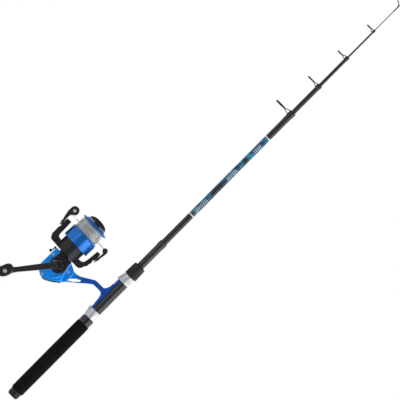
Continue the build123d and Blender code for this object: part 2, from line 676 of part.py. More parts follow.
def rotor():
    """Rotor: a cup that reaches into the spool skirt, and two arms."""
    cup = turned([(ROTOR_BACK, 9.8), (ROTOR_BACK, ROTOR_CUP_R - 1), (ROTOR_BACK + 1, ROTOR_CUP_R),
                  (ROTOR_CUP_END - 0.6, ROTOR_CUP_R), (ROTOR_CUP_END, ROTOR_CUP_R - 0.6),
                  (ROTOR_CUP_END, ROTOR_CUP_BORE), (ROTOR_NUT_SEAT, ROTOR_CUP_BORE), (ROTOR_NUT_SEAT, PINION_R),
                  (27, PINION_R), (27, 9.8)])
    body = cup + rotor_arm(UPPER_ARM) + rotor_arm(LOWER_ARM)
    body -= rod(ROTOR_BACK - 3, 27, 9.8)
    body -= rod(20, 40, PINION_R)
    body -= rod(ROTOR_NUT_SEAT, 70, ROTOR_CUP_BORE)
    for z in (-1, 1):
        body += upright(BAIL_PIVOT_X, 0, 5.0, z * 35.0, z * (BAIL_FACE - 0.3))
        body -= upright(BAIL_PIVOT_X, 0, BAIL_SCREW_R + RUNNING_GAP, z * 31.0, z * 40)
    body -= Pos(0, 0, 15.5) * rod(ROTOR_BACK - 1, ROTOR_BACK + 7, 0.8)
    return REEL * body


def rotor_arm_covers():
    """Cover plates on the outside of the two arms."""
    upper = softened(plate([(21.9, -34.5), (37.9, -35.4), (40, -35.75), (38.8, -36.9), (34, -36.6), (24, -35.9)],
                           -6.2, 6.2), 0.35)
    lower = softened(plate([(27, 33.6), (39.6, 35.4), (40.2, 35.5), (39, 36.7), (28, 35.2)], -6.2, 6.2), 0.35)
    return Compound(children=[(REEL * upper).solid(), (REEL * lower).solid()])


def rotor_nut():
    """Hexagon nut that holds the rotor on the pinion."""
    face = Plane.YZ.offset(ROTOR_NUT_SEAT) * RegularPolygon(5.2, 6)
    return REEL * (extrude(face, amount=3.2, dir=(1, 0, 0)) - rod(29, 34, PINION_R))


def bail_lever():
    """Upper bail arm, from its pivot on the rotor arm to the cheek beside the line roller."""
    outline = [(40.6, -BAIL_FACE), (41.2, -38.9), (46, -39.9), (52.6, -41.6), (57.5, -43.2),
               (65.5, ROLLER_Z - LEVER_EYE_R), (ROLLER_X, ROLLER_Z - LEVER_EYE_R), (ROLLER_X, -BAIL_FACE)]
    plan = [(39, -4.4), (44, -6), (52, -6), (60, -2.5), (66, 3.0), (80, 3.0), (80, 6.4), (60, 6.4), (44, 6),
            (39, 4.4)]
    side = softened(plate(outline, -6, 6.4) + cross(ROLLER_X, ROLLER_Z, LEVER_EYE_R, -6, 6.4), 0.9)
    body = side & plan_column(plan)
    body -= upright(BAIL_PIVOT_X, 0, BAIL_SCREW_R + RUNNING_GAP, -50, -30)
    body -= upright(BAIL_PIVOT_X, 0, BAIL_SCREW_HEAD_R + 0.2, -50, -BAIL_SCREW_SEAT)
    body -= cross(ROLLER_X, ROLLER_Z, ROLLER_SCREW_R, -10, 10)
    return REEL * body


def bail_foot_lever():
    """Lower bail arm, from its pivot to the ball that the wire ends in."""
    outline = [(40.4, BAIL_FACE), (41.2, 38.9), (46.8, 40.0), (56.9, 41.3), (64.0, 41.9), (68.6, 40.0),
               (68.6, 36),
               (65.0, 34.3), (61.4, 35.6), (59.6, BAIL_FACE)]
    plan = [(39, -4), (44, -5.6), (52, -5.6), (62, -4), (69.5, -3.4), (69.5, 3.4), (62, 4), (52, 5.6), (44, 5.6),
            (39, 4)]
    body = softened(plate(outline, -5.6, 5.6) & plan_column(plan), 0.9)
    body += Pos(WIRE_X, 0, WIRE_HALF) * Sphere(4.0)
    body -= upright(BAIL_PIVOT_X, 0, BAIL_SCREW_R + RUNNING_GAP, 30, 50)
    body -= upright(BAIL_PIVOT_X, 0, BAIL_SCREW_HEAD_R + 0.2, BAIL_SCREW_SEAT, 50)
    body -= cross(WIRE_X, WIRE_HALF, WIRE_R, -10, 1)
    return REEL * body


def bail_wire():
    """Bail wire: a U across the spool axis, from the cone beside the roller to the lower ball."""
    centre = -WIRE_STRAIGHT
    lower = (WIRE_X, centre, WIRE_HALF)
    upper = (WIRE_X, centre, -WIRE_HALF)
    path = Line((WIRE_X, 1, WIRE_HALF), lower)
    path += ThreePointArc(lower, (WIRE_X, centre - WIRE_HALF, 0), upper)
    path += Line(upper, (WIRE_X, centre + 1, -WIRE_HALF))
    section_face = Plane(origin=(WIRE_X, 1, WIRE_HALF), z_dir=(0, -1, 0)) * Circle(WIRE_R)
    return REEL * sweep(section_face, path=path)


def bail_cone():
    """Cone that joins the wire's eye to the roller's screw."""
    body = cross(ROLLER_X, ROLLER_Z, 4.4, -6.6, -4.2)
    body += cone_between((ROLLER_X - 1, -7.6, ROLLER_Z), (WIRE_X, -8.6, -WIRE_HALF), 3.1, 1.8)
    body += softened(cross(WIRE_X, -WIRE_HALF, 1.9, -10.4, -6.7), 0.8)
    body -= cross(ROLLER_X, ROLLER_Z, ROLLER_SCREW_R, -6.8, 0)
    body -= cross(WIRE_X, -WIRE_HALF, WIRE_R, -12, -7.5)
    return REEL * body


def line_roller():
    """Line roller between the bail arm's cheek and the cone."""
    bore = ROLLER_SCREW_R + RUNNING_GAP
    roller = turned([(-4.0, bore), (-4.0, 4.4), (-3.2, 4.4), (-1.6, 3.4), (0.8, 3.4), (2.0, 4.4), (2.8, 4.4),
                     (2.8, bore)])
    return REEL * Pos(ROLLER_X, 0, ROLLER_Z) * Rot(0, 0, 90) * roller


def roller_screw():
    """Screw through the cheek, the roller and the cone."""
    shank = cross(ROLLER_X, ROLLER_Z, ROLLER_SCREW_R, -6.8, 6.6)
    head = cross(ROLLER_X, ROLLER_Z, 2.6, 6.4, 7.4)
    slot = Pos(ROLLER_X, 7.4, ROLLER_Z) * Rot(0, -28, 0) * Box(6, 0.8, 0.6)
    return REEL * (shank + head - slot)


def bail_screws():
    """Pivot screws of the two bail arms."""
    screws = []
    top = BAIL_SCREW_SEAT + 1.4
    for side in (-1, 1):
        shank = upright(BAIL_PIVOT_X, 0, BAIL_SCREW_R, side * 31.2, side * BAIL_SCREW_SEAT)
        head = upright(BAIL_PIVOT_X, 0, BAIL_SCREW_HEAD_R, side * BAIL_SCREW_SEAT, side * top)
        slot = Pos(BAIL_PIVOT_X, 0, side * top) * Rot(0, 0, 25) * Box(8, 0.6, 0.9)
        screws.append(REEL * (shank + head - slot))
    return Compound(children=[part.solid() for part in screws])


# ---------------------------------------------------------------- spool and drag

def spool():
    """Spool: skirt over the rotor cup, arbor for the line, front lip and drag chamber."""
    outline = [(57, SPOOL_SHAFT_R + RUNNING_GAP), (57, 22.3), (SKIRT_BACK, 22.3), (SKIRT_BACK, SKIRT_R - 0.3),
               (SKIRT_BACK + 0.4, SKIRT_R), (56.6, SKIRT_R), (58.2, 23.2), (59.0, 22.4), (LINE_BACK, 21.9),
               (LINE_BACK, ARBOR_R), (LINE_FRONT, ARBOR_R), (LINE_FRONT, 23.4), (77.6, LIP_R), (78.6, LIP_R),
               (79.4, 23.4), (79.5, 19.8), (80.2, 19.0), (81.8, 16.9), (82.0, 16.4), (82.0, DRAG_CHAMBER_R),
               (DRAG_CHAMBER_BACK, DRAG_CHAMBER_R), (DRAG_CHAMBER_BACK, SPOOL_SHAFT_R + RUNNING_GAP)]
    return REEL * turned(outline)


def line_winding():
    """Line wound on the arbor, slightly crowned."""
    return REEL * turned([(LINE_BACK, ARBOR_R), (LINE_BACK, LINE_R - 0.5), (LINE_BACK + 1.5, LINE_R - 0.1),
                          (67, LINE_R + 0.15), (LINE_FRONT - 1.5, LINE_R - 0.1), (LINE_FRONT, LINE_R - 0.5),
                          (LINE_FRONT, ARBOR_R)])


def click_gear():
    """Click wheel fixed behind the spool's web."""
    wheel = tube(55.2, 57, 9.0, 6.0)
    notch = Pos(0, 9.3, 0) * rod(50, 60, 0.7)
    for k in range(CLICKS):
        wheel -= Rot(k * 360 / CLICKS, 0, 0) * notch
    return REEL * wheel


def drag_washers():
    """Stack of friction and steel washers in the spool's drag chamber."""
    x = DRAG_CHAMBER_BACK
    washers = []
    for thickness, radius in [(1.4, 12.6), (1.0, 12.2), (1.4, 12.6), (1.0, 12.2), (1.4, 12.6)]:
        washers.append(REEL * tube(x, x + thickness, radius, SPOOL_SHAFT_R + 0.3))
        x += thickness
    return Compound(children=[part.solid() for part in washers])


def drag_knob():
    """Front drag knob with a raised finger bar."""
    base = turned([(82.6, SPOOL_SHAFT_R + RUNNING_GAP), (82.6, 15.9), (83.0, 16.3), (84.4, 15.9), (85.2, 15.1),
                   (85.6, 14.0), (85.6, SPOOL_SHAFT_R + RUNNING_GAP)])
    dome = turned([(84.6, 0), (84.6, 15.4), (86.4, 14.2), (88.0, 11.6), (89.2, 7.6), (89.8, 3.2), (89.9, 0)])
    bar = dome & block(80, 95, -4.2, 4.2, -20, 20)
    knob = base + bar - rod(80, 88.3, SPOOL_SHAFT_R + RUNNING_GAP)
    flute = Pos(0, 0, 16.9) * rod(82, 86, 1.1)
    for k in range(KNOB_FLUTES):
        knob -= Rot((k + 0.5) * 360 / KNOB_FLUTES, 0, 0) * flute
    knob += tube(76.9, 82.6, 5.4, SPOOL_SHAFT_R + RUNNING_GAP)
    return REEL * knob


# ---------------------------------------------------------------- handle of the reel

def handle_hub():
    """Hub on the end of the axle, forked for the folding arm."""
    hub = turned([(20.4, AXLE_R), (20.4, 4.9), (21.2, 5.6), (36.4, 6.6), (38.0, 6.6), (38.0, AXLE_R)])
    hub = Rot(0, 0, 90) * hub
    fork = block(-5.5, 8.6, 37.6, 49.6, -6.6, 6.6) - block(-7, 12, 39.2, 52, -4.1, 4.1)
    fork &= (block(-9, ARM_HINGE[0], 30, 60, -9, 9) + block(-9, 8.6, 30, ARM_HINGE[1], -9, 9)
             + upright(ARM_HINGE[0], ARM_HINGE[1], 4.6, -9, 9))
    hub += softened(fork, 0.7)
    hub -= cross(0, 0, AXLE_R, 15, 38)
    hub -= upright(ARM_HINGE[0], ARM_HINGE[1], ARM_PIN_R, -9, 9)
    return CRANK * hub


def fold_pin():
    """Pin that the arm folds on."""
    pin = upright(ARM_HINGE[0], ARM_HINGE[1], ARM_PIN_R, -6.6, 6.6)
    pin += upright(ARM_HINGE[0], ARM_HINGE[1], 2.4, 6.6, 7.3)
    return CRANK * pin


def handle_arm():
    """Folding arm: a grooved bar from its hinge to the knob."""
    reach = (ARM_LENGTH - ARM_HINGE[0]) / math.cos(math.radians(ARM_TILT))
    edge = [(0, 4.0), (5, 4.0), (9, 5.0), (20, 4.9), (reach - 18, 4.0), (reach - 11, 4.4), (reach - 6, 5.6),
            (reach + 1.5, 6.0), (reach + 5.4, 2.8)]
    plan = edge + [(x, -y) for x, y in reversed(edge)]
    face = Plane.XZ.offset(-3.0) * Polygon(*plan, align=None)
    bar = softened(extrude(face, amount=5.6, dir=(0, -1, 0)), 1.1)
    bar += upright(0, 0, 3.8, -4.0, 4.0)
    bar -= upright(0, 0, ARM_PIN_R + RUNNING_GAP, -9, 9)
    bar -= block(14, reach - 16, 2.3, 5, -1.8, 1.8)
    boss = cross(ARM_LENGTH, 0, 5.6, 54.0, KNOB_START - 0.8)
    arm = ARM_FRAME * bar + CRANK * boss
    arm -= CRANK * cross(ARM_LENGTH, 0, 9.0, KNOB_START - 0.8, 75)
    return arm - CRANK * cross(ARM_LENGTH, 0, KNOB_PIN_R, 50, 75)


def knob_pin():
    """Pin on the arm's end that the knob turns on, with its cap."""
    recess = KNOB_START + KNOB_LENGTH - 1.2
    pin = cross(ARM_LENGTH, 0, KNOB_PIN_R, 54.0, recess)
    pin += cross(ARM_LENGTH, 0, 4.2, KNOB_START - 0.8, KNOB_START - 0.3)
    pin += softened(cross(ARM_LENGTH, 0, 3.0, recess, recess + 1.8), 0.4)
    return CRANK * pin


def handle_knob():
    """Paddle-shaped knob, seen end on as a rounded triangle."""
    outline = [(11.2, -3.8), (11.6, 1.6), (8.6, 6.6), (3.0, 8.6), (-4.6, 10.4), (-10.4, 8.2), (-12.2, 2.6),
               (-10.6, -3.0), (-5.6, -6.4), (0.6, -8.2), (7.4, -7.4)]
    face = Plane.XZ.offset(-KNOB_START) * make_face(Spline(*outline, periodic=True))
    body = extrude(face, amount=KNOB_LENGTH, dir=(0, 1, 0))
    body = softened(body, 3.0)
    body -= cross(0, 0, KNOB_PIN_R + RUNNING_GAP, KNOB_START - 1, KNOB_START + KNOB_LENGTH - 1.2)
    body -= cross(0, 0, 3.15, KNOB_START + KNOB_LENGTH - 1.3, KNOB_START + KNOB_LENGTH + 1)
    return CRANK * Pos(ARM_LENGTH, 0, 0) * body


# ---------------------------------------------------------------- nodes

NODES = {
    "butt_cap": (butt_cap(), "#1b1c1f"),
    "grip_foam": (grip_foam(), "#26272b"),
    "grip_collar": (grip_collar(), "#3a3c41"),
    "seat_tube": (seat_tube(), "#33363c"),
    "rear_hood": (rear_hood(), "#b9bec4"),
    "front_hood": (front_hood(), "#b9bec4"),
    "seat_nut": (seat_nut(), "#1c1d20"),
    "handle_sleeve": (handle_sleeve(), "#2b2e34"),
    "butt_blank": (butt_blank(), "#1d2230"),
    "section_2": (section(0), "#20242e"),
    "section_3": (section(1), "#262a33"),
    "section_4": (section(2), "#2c3038"),
    "tip_section": (tip_section(), "#30343c"),
    "tip_guide": (tip_guide(), "#a9adb2"),
    "reel_body": (reel_body(), "#1668c8"),
    "side_cover": (side_cover(), "#1f74d6"),
    "cover_screws": (cover_screws(), "#c9ccd0"),
    "rear_guard": (rear_guard(), "#17181b"),
    "front_neck": (front_neck(), "#202226"),
    "boss_cover": (boss_cover(), "#1a1b1e"),
    "side_cap": (side_cap(), "#1a1b1e"),
    "drive_bearings": (drive_bearings(), "#b0b4b8"),
    "pinion_bearing": (pinion_bearing(), "#b0b4b8"),
    "one_way_clutch": (one_way_clutch(), "#9ca0a4"),
    "anti_reverse_lever": (anti_reverse_lever(), "#1b1c1f"),
    "pinion": (pinion(), "#c8a040"),
    "drive_gear": (drive_gear(), "#b8bcc0"),
    "drive_axle": (drive_axle(), "#a9adb2"),
    "cam_gear": (cam_gear(), "#e4e0d4"),
    "slider_guides": (slider_guides(), "#a9adb2"),
    "shaft_slider": (shaft_slider(), "#c8a040"),
    "main_shaft": (main_shaft(), "#b9bec4"),
    "rotor": (rotor(), "#24262b"),
    "rotor_arm_covers": (rotor_arm_covers(), "#1b1c1f"),
    "rotor_nut": (rotor_nut(), "#b9bec4"),
    "bail_lever": (bail_lever(), "#2a2c31"),
    "bail_foot_lever": (bail_foot_lever(), "#2a2c31"),
    "bail_wire": (bail_wire(), "#c9ccd0"),
    "bail_cone": (bail_cone(), "#2a2c31"),
    "line_roller": (line_roller(), "#d4b25c"),
    "roller_screw": (roller_screw(), "#c9ccd0"),
    "bail_screws": (bail_screws(), "#c9ccd0"),
    "spool": (spool(), "#1f7ae0"),
    "line_winding": (line_winding(), "#c4cbd0"),
    "click_gear": (click_gear(), "#d8d4c8"),
    "drag_washers": (drag_washers(), "#7c7468"),
    "drag_knob": (drag_knob(), "#1b1c1f"),
    "handle_hub": (handle_hub(), "#2a2c31"),
    "fold_pin": (fold_pin(), "#c9ccd0"),
    "handle_arm": (handle_arm(), "#2a2c31"),
    "knob_pin": (knob_pin(), "#b9bec4"),
    "handle_knob": (handle_knob(), "#1b1c1f"),
}
for number in range(len(GUIDES)):
    NODES[f"guide_{number + 1}"] = (guide_frame(number), "#8c9096")
    NODES[f"guide_ring_{number + 1}"] = (guide_ring(number), "#3c4046")

for name, (shape, colour) in NODES.items():
    shape.label = name
    shape.color = Color(colour)
    export_step(shape, f"parts/{name}.step")
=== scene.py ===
import json
import math

import bpy
from mathutils import Matrix, Vector, noise


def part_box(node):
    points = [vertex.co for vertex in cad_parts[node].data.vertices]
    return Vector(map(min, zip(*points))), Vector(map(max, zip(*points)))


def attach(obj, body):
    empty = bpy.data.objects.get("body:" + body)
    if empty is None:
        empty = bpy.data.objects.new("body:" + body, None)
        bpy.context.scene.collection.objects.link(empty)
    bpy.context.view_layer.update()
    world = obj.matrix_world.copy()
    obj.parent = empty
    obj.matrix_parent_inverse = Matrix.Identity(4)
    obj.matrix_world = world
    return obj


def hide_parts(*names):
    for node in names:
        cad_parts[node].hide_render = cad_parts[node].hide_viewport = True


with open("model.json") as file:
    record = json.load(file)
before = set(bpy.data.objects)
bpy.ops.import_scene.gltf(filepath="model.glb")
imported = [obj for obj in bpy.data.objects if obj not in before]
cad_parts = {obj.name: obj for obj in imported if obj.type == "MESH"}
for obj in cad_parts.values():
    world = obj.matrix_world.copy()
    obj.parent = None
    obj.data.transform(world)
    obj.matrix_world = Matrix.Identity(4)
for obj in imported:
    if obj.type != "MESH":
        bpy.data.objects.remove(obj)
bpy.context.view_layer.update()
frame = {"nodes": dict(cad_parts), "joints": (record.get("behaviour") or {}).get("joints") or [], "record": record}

MM = 0.001
RECORD = frame["record"]
SLOT_OF = {part["node"]: part["material_slot"] for part in RECORD["subparts"]}
COLOUR_OF = {entry["slot"]: tuple(entry["base_color"]) for entry in RECORD["materials"]}
JOINTS = {joint["name"]: joint for joint in frame["joints"]}


# ---------------------------------------------------------------- camera

VIEW_CENTRE = Vector((0.3968, 0.0, -0.0068))
VIEW_DISTANCE = 12.0
VIEW_WIDTH = 0.6
VIEW_REACH = 500
SENSOR_WIDTH = 36
ROD_SLOPE = math.radians(45.2)


def make_camera():
    """A long lens on the handle side, rolled so that the rod rises from lower left to upper right."""
    data = bpy.data.cameras.new("camera")
    data.sensor_width = SENSOR_WIDTH
    data.lens = SENSOR_WIDTH * VIEW_DISTANCE / VIEW_WIDTH
    data.clip_end = VIEW_REACH
    camera = bpy.data.objects.new("camera", data)
    bpy.context.scene.collection.objects.link(camera)
    right = Vector((math.cos(ROD_SLOPE), 0, math.sin(ROD_SLOPE)))
    back = Vector((0, 1, 0))
    up = back.cross(right)
    turn = Matrix((right, up, back)).transposed().to_4x4()
    camera.matrix_world = Matrix.Translation(VIEW_CENTRE + back * VIEW_DISTANCE) @ turn
    bpy.context.scene.camera = camera


make_camera()


# ---------------------------------------------------------------- node graphs

# The Mix node's sockets share names, so the ones for colours go by their place.
MIX_FIRST = 6
MIX_SECOND = 7
MIX_RESULT = 2


class Graph:
    """A node material under construction: one Principled shader, and calls that hang textures on it.

    Textures take the object's own coordinates in metres, so a scale of 100 makes features about 10 mm wide.
    """

    def __init__(self, name):
        self.material = bpy.data.materials.new(name)
        self.material.use_nodes = True
        self.nodes = self.material.node_tree.nodes
        self.links = self.material.node_tree.links
        self.shader = self.nodes["Principled BSDF"]
        self.place = self.nodes.new("ShaderNodeTexCoord").outputs["Object"]

    def set(self, **values):
        """Sets the shader's inputs, named with underscores for spaces."""
        for name, value in values.items():
            self.put(self.shader.inputs[name.replace("_", " ")], value)
        return self

    def put(self, socket, value):
        """Links an output to the socket, or gives it a constant. A colour is red, green and blue."""
        if isinstance(value, bpy.types.NodeSocket):
            self.links.new(value, socket)
        elif socket.type == "RGBA":
            socket.default_value = (*value, 1)
        else:
            socket.default_value = value

    def node(self, kind, inputs, **settings):
        made = self.nodes.new(kind)
        for name, value in settings.items():
            setattr(made, name, value)
        for name, value in inputs.items():
            self.put(made.inputs[name], value)
        return made

    def axes(self):
        return self.node("ShaderNodeSeparateXYZ", {"Vector": self.place}).outputs

    def scaled(self, stretch):
        return self.node("ShaderNodeMapping", {"Vector": self.place, "Scale": stretch}).outputs["Vector"]

    def noise(self, scale, detail, stretch=(1, 1, 1), distortion=0.0):
        inputs = {"Vector": self.scaled(stretch), "Scale": scale, "Detail": detail, "Distortion": distortion}
        return self.node("ShaderNodeTexNoise", inputs).outputs["Fac"]

    def cells(self, scale, output="Distance"):
        return self.node("ShaderNodeTexVoronoi", {"Vector": self.place, "Scale": scale}).outputs[output]

    def math(self, operation, *values):
        made = self.node("ShaderNodeMath", {}, operation=operation)
        for socket, value in zip(made.inputs, values):
            self.put(socket, value)
        return made.outputs[0]

    def between(self, value, low, high):
        """1 where the value lies from low to high, and 0 elsewhere."""
        return self.math("COMPARE", value, (low + high) / 2, (high - low) / 2)

    def spread(self, value, low, high, to_low=0.0, to_high=1.0):
        """A smooth step from to_low to to_high, as the value goes from low to high."""
        inputs = {"Value": value, "From Min": low, "From Max": high, "To Min": to_low, "To Max": to_high}
        return self.node("ShaderNodeMapRange", inputs, interpolation_type="SMOOTHSTEP").outputs["Result"]

    def ramp(self, value, stops):
        """Blends through the stops, each a position and a colour."""
        made = self.node("ShaderNodeValToRGB", {"Fac": value})
        elements = made.color_ramp.elements
        while len(elements) < len(stops):
            elements.new(0.5)
        for element, (position, colour) in zip(elements, stops):
            element.position = position
            element.color = (*colour, 1)
        return made.outputs["Color"]

    def mix(self, factor, first, second):
        made = self.node("ShaderNodeMix", {"Factor": factor}, data_type="RGBA")
        self.put(made.inputs[MIX_FIRST], first)
        self.put(made.inputs[MIX_SECOND], second)
        return made.outputs[MIX_RESULT]

    def colour(self, value):
        self.put(self.shader.inputs["Base Color"], value)

    def roughness(self, value):
        self.put(self.shader.inputs["Roughness"], value)

    def bump(self, height, distance, strength):
        """Adds relief of that depth in metres on top of any before it."""
        socket = self.shader.inputs["Normal"]
        made = self.node("ShaderNodeBump", {"Height": height, "Distance": distance, "Strength": strength})
        if socket.is_linked:
            self.links.new(socket.links[0].from_socket, made.inputs["Normal"])
        self.links.new(made.outputs["Normal"], socket)


def shade(colour, factor):
    return tuple(channel * factor for channel in colour)


# ---------------------------------------------------------------- materials
# A material that names no colours of its own takes the record's for its slot, times its tone.

def foam():
    """Closed-cell foam: fine pores, drawn darker at their centres as painted shade, over soft mottling."""
    g = Graph("foam").set(Sheen_Weight=0.01, Sheen_Roughness=0.5, Specular_IOR_Level=0.08)
    base = COLOUR_OF["foam"]
    mottle = g.noise(260, 4)
    pores = g.cells(1500)
    # Painted shade: each pore is drawn darker at its centre, where the bump below sinks it.
    shaded_pores = g.mix(g.spread(pores, 0.05, 0.45), shade(base, 0.06), shade(base, 0.22))
    g.colour(g.mix(g.spread(mottle, 0.35, 0.7), shaded_pores, shade(base, 0.18)))
    g.roughness(g.spread(mottle, 0.3, 0.7, 0.82, 0.97))
    g.bump(mottle, 0.12 * MM, 0.5)
    g.bump(pores, 0.12 * MM, 0.6)
    return g.material


def cap_rubber():
    """Moulded rubber with a fine stipple and a trace of bloom."""
    g = Graph("cap_rubber").set(Specular_IOR_Level=0.28)
    base = COLOUR_OF["cap_rubber"]
    bloom = g.noise(180, 5)
    stipple = g.noise(2600, 2)
    g.colour(g.mix(g.spread(bloom, 0.4, 0.75), shade(base, 0.42), shade(base, 0.75)))
    g.roughness(g.spread(bloom, 0.3, 0.7, 0.42, 0.6))
    g.bump(stipple, 0.06 * MM, 0.7)
    return g.material


# A wave texture of scale 1 has nearly this many bands in a metre.
WAVE_BANDS = 3.2
BLANK_TAPE = 2.6 * MM
SLEEVE_TAPE = 4.5 * MM


def lacquered(g, base, tape_pitch):
    """Lacquer over wrapped tape, whose edges stand in faint rings under the coat. Returns its colour."""
    inputs = {"Vector": g.scaled((1, 0.12, 0.12)), "Scale": 1 / tape_pitch / WAVE_BANDS, "Distortion": 0.6,
              "Detail": 2.0, "Detail Scale": 1.5}
    wrap = g.node("ShaderNodeTexWave", inputs, wave_type="BANDS", bands_direction="X", wave_profile="SAW")
    fibre = g.noise(900, 3, (0.12, 1, 1))
    dust = g.noise(140, 4)
    g.roughness(g.spread(dust, 0.3, 0.7, 0.2, 0.34))
    g.bump(wrap.outputs["Fac"], 0.012 * MM, 0.4)
    return g.mix(g.spread(fibre, 0.3, 0.75), shade(base, 0.25), shade(base, 0.42))


def blank():
    """The rod's plain lacquered sections."""
    g = Graph("blank").set(Coat_Weight=0.4, Coat_Roughness=0.08, Specular_IOR_Level=0.2)
    g.colour(lacquered(g, COLOUR_OF["blank"], BLANK_TAPE))
    return g.material


def sleeve():
    """The handle sleeve, with wider tape and a duller coat."""
    g = Graph("sleeve").set(Coat_Weight=0.4, Coat_Roughness=0.15, Specular_IOR_Level=0.3)
    g.colour(lacquered(g, shade(COLOUR_OF["sleeve"], 0.8), SLEEVE_TAPE))
    return g.material


PRINT_START = 0.3725
PRINT_END = 0.5335
DASH_GROUPS = ((0.379, 0.404), (0.447, 0.468), (0.504, 0.519))
DASH_BAND = (-2.3 * MM, 3.1 * MM)
DASH_PITCH = 3.1 * MM
DASH_SHARE = 0.45
DASH_SLANT = 0.35
DASH_STRENGTH = 0.8
NAVY = (0.004, 0.01, 0.016)
DEEP_BLUE = (0.001, 0.05, 0.12)
TEAL = (0.001, 0.13, 0.22)
CYAN = (0.003, 0.3, 0.46)
CLOUD_GREY = (0.05, 0.06, 0.065)
PALE = (0.55, 0.57, 0.6)


def slanted_dashes(g, x, z):
    """1 on plain slanted dashes, which stand in groups along the rod and in a band across its height."""
    along = g.math("ADD", x, g.math("MULTIPLY", z, DASH_SLANT))
    step = g.math("FRACT", g.math("DIVIDE", along, DASH_PITCH))
    dash = g.math("LESS_THAN", step, DASH_SHARE)
    grouped = 0.0
    for low, high in DASH_GROUPS:
        grouped = g.math("ADD", grouped, g.between(x, low, high))
    return g.math("MULTIPLY", dash, g.math("MULTIPLY", g.between(z, *DASH_BAND), grouped))


def printed_blank():
    """The butt section: clouds and pale dashes between the trim rings, and plain lacquer elsewhere."""
    g = Graph("printed_blank").set(Coat_Weight=0.4, Coat_Roughness=0.08, Specular_IOR_Level=0.2)
    plain = lacquered(g, COLOUR_OF["blank"], BLANK_TAPE)
    axes = g.axes()
    drift = g.noise(62, 3, (0.8, 1.2, 1.2), 0.6)
    clouds = g.ramp(drift, [(0.38, NAVY), (0.46, DEEP_BLUE), (0.54, TEAL), (0.61, CYAN), (0.7, CLOUD_GREY)])
    veins = g.noise(240, 4, (0.5, 1, 1), 1.2)
    clouds = g.mix(g.spread(veins, 0.56, 0.66), clouds, shade(NAVY, 0.6))
    mark = slanted_dashes(g, axes["X"], axes["Z"])
    art = g.mix(g.math("MULTIPLY", mark, DASH_STRENGTH), clouds, PALE)
    g.colour(g.mix(g.between(axes["X"], PRINT_START, PRINT_END), plain, art))
    return g.material


def turned_metal(slot, roughness, lines, depth, tone):
    """Metal with the fine rings that a lathe or a brush leaves round the rod's axis."""
    g = Graph(slot).set(Metallic=1.0)
    base = shade(COLOUR_OF[slot], tone)
    rings = g.noise(lines, 3, (1, 0.02, 0.02))
    haze = g.noise(90, 4)
    g.colour(g.mix(rings, shade(base, 0.92), shade(base, 1.08)))
    g.roughness(g.spread(haze, 0.3, 0.7, roughness * 0.8, roughness * 1.25))
    g.bump(rings, depth, 0.5)
    return g.material


def polished_metal(slot, roughness, tone=1.0):
    """Polished or plated metal with faint hairline scratches and handling marks."""
    g = Graph(slot).set(Metallic=1.0)
    base = shade(COLOUR_OF[slot], tone)
    marks = g.noise(160, 5)
    hairline = g.noise(1400, 2, (1, 0.1, 1))
    g.colour(g.mix(g.spread(marks, 0.35, 0.7), shade(base, 0.92), base))
    g.roughness(g.spread(marks, 0.3, 0.7, roughness * 0.7, roughness * 1.4))
    g.bump(hairline, 0.012 * MM, 0.4)
    return g.material


def flake_paint(slot, highlight_colour, deep, shade_fade, metallic):
    """Metallic lacquer: fine flakes under a clear coat with slight orange peel.

    Where the two colours differ, this is painted light and shade: the colour fades from the painted highlight to
    the painted shade as the row's Z goes across the given span, from its first number to its second.
    """
    g = Graph(slot).set(Metallic=metallic, Coat_Weight=0.4, Coat_Roughness=0.06, Specular_IOR_Level=0.25)
    flakes = g.cells(3600, "Color")
    grey = g.node("ShaderNodeSeparateColor", {"Color": flakes}).outputs["Red"]
    # Painted light and shade: the paint is drawn in its lit colour low on the housing, and in its shaded colour
    # towards the rod, on the stem and foot.
    base = g.mix(g.spread(g.axes()["Z"], *shade_fade), highlight_colour, deep)
    depth = g.noise(55, 3)
    shadowed = g.mix(0.22, base, shade(deep, 0.5))
    lively = g.mix(g.math("MULTIPLY", grey, 0.35), base, shadowed)
    g.colour(g.mix(g.spread(depth, 0.3, 0.8), lively, base))
    g.roughness(g.spread(grey, 0.0, 1.0, 0.24, 0.36))
    g.bump(g.noise(420, 2), 0.02 * MM, 0.3)
    return g.material


def moulded(slot, roughness, grain, relief, tone=1.0, coat=0.0):
    """Moulded plastic: an even spark-eroded grain and slight flow marks."""
    g = Graph(slot).set(Coat_Weight=coat, Coat_Roughness=0.2, Specular_IOR_Level=0.3)
    base = shade(COLOUR_OF[slot], tone)
    flow = g.noise(70, 4, (1, 1, 0.5))
    texture = g.noise(grain, 2)
    g.colour(g.mix(g.spread(flow, 0.35, 0.7), shade(base, 0.85), shade(base, 1.15)))
    g.roughness(g.spread(flow, 0.3, 0.7, roughness * 0.85, roughness * 1.15))
    g.bump(texture, relief, 0.6)
    return g.material


def fishing_line():
    """Clear nylon on the spool, lighter and darker where more or fewer layers lie under it."""
    g = Graph("line").set(Transmission_Weight=0.1, IOR=1.5, Coat_Weight=0.2, Coat_Roughness=0.2)
    base = COLOUR_OF["line"]
    layers = g.noise(110, 3, (2.5, 0.4, 0.4))
    g.colour(g.mix(g.spread(layers, 0.3, 0.7), shade(base, 0.42), shade(base, 0.64)))
    g.roughness(g.spread(layers, 0.3, 0.7, 0.18, 0.34))
    return g.material


def felt():
    """Oiled felt: matted fibres in several directions."""
    g = Graph("felt").set(Sheen_Weight=0.4)
    base = COLOUR_OF["felt"]
    fibres = g.noise(2200, 4, (1, 0.4, 1.6), 1.5)
    g.colour(g.mix(fibres, shade(base, 0.5), shade(base, 1.2)))
    g.roughness(g.spread(fibres, 0.3, 0.7, 0.7, 0.95))
    g.bump(fibres, 0.1 * MM, 0.8)
    return g.material


TRIM_WHITE = (0.86, 0.86, 0.85)
TRIM_WORN = (0.78, 0.79, 0.79)


